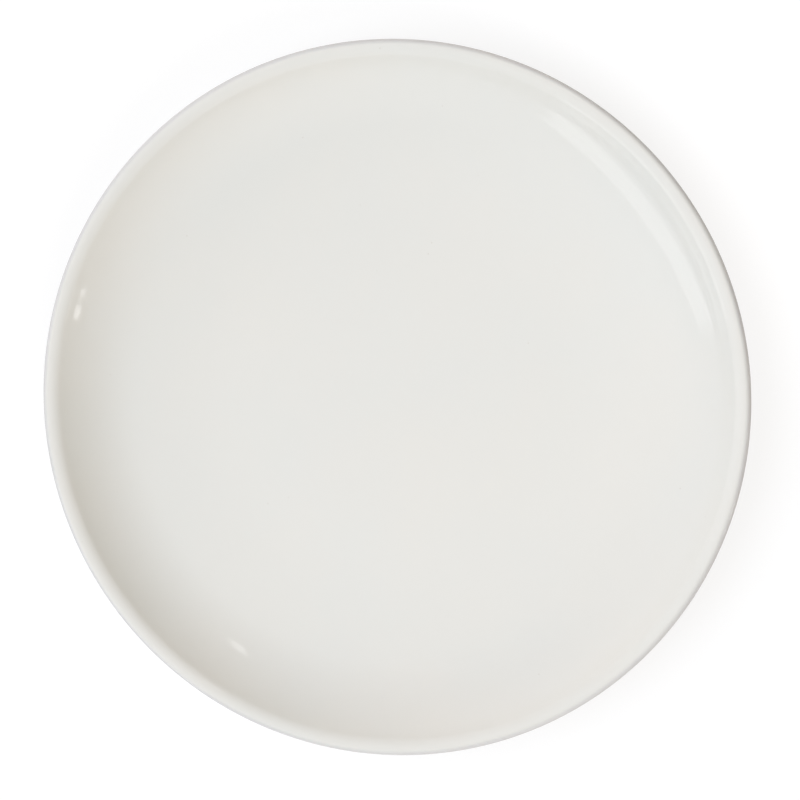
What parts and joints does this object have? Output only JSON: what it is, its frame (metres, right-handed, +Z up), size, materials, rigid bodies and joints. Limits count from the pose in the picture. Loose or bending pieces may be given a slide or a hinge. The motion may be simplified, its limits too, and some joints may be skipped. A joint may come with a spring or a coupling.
{
  "type": "coupe dinner plate",
  "caption": "Round rimless dinner plate of glazed porcelain: a flat floor curves up into a rolled lip, on a low foot ring with a bare tread.",
  "frame": {"origin": "on the plate's axis, in the plane of the foot ring's tread", "axes": "+Z up along the plate's axis, out of its eating face; X and Y are any two directions across it, because the plate is round"},
  "size_m": [0.27, 0.27, 0.028],
  "materials": {
    "bare_clay": "matte",
    "white_glaze": "gloss"
  },
  "bodies": {
    "root": {"clay_body": "bare_clay", "main_glaze": "white_glaze", "foot_well_glaze": "white_glaze"}
  },
  "joints": []
}
